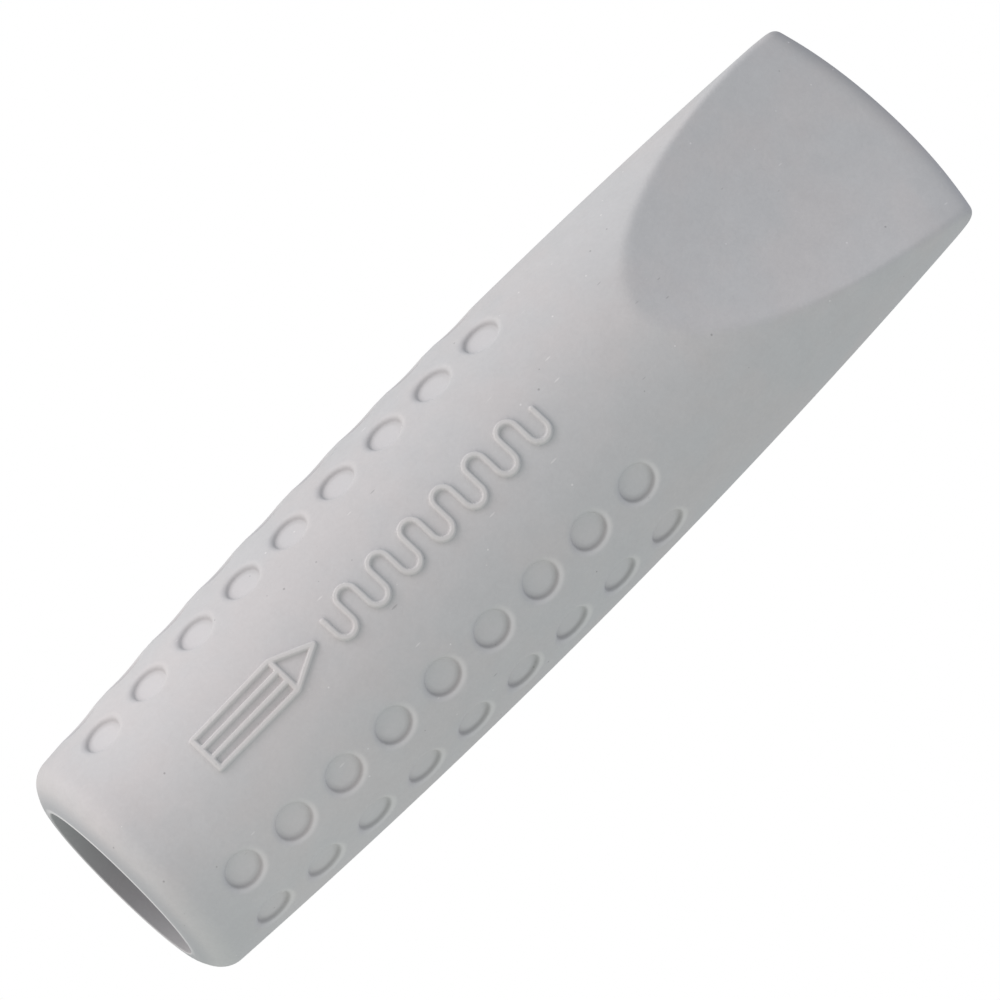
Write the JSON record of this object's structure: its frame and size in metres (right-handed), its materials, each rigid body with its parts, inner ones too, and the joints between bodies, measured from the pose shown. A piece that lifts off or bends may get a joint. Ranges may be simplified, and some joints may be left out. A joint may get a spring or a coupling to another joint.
{
  "type": "pencil cap eraser",
  "caption": "Barrel-shaped moulded rubber eraser that pushes onto the end of a pencil, with a blind socket, dimpled grip and chisel tip.",
  "frame": {"origin": "centre of the mouth plane, on the axis of the pencil socket", "axes": "+Z along the axis from the mouth to the chisel tip, -Y towards the front flank and the raised pictogram, +X along the tip edge"},
  "size_m": [0.014, 0.0142, 0.0493],
  "materials": {
    "rubber": "matte"
  },
  "bodies": {
    "root": {"eraser_cap": "rubber"}
  },
  "joints": []
}
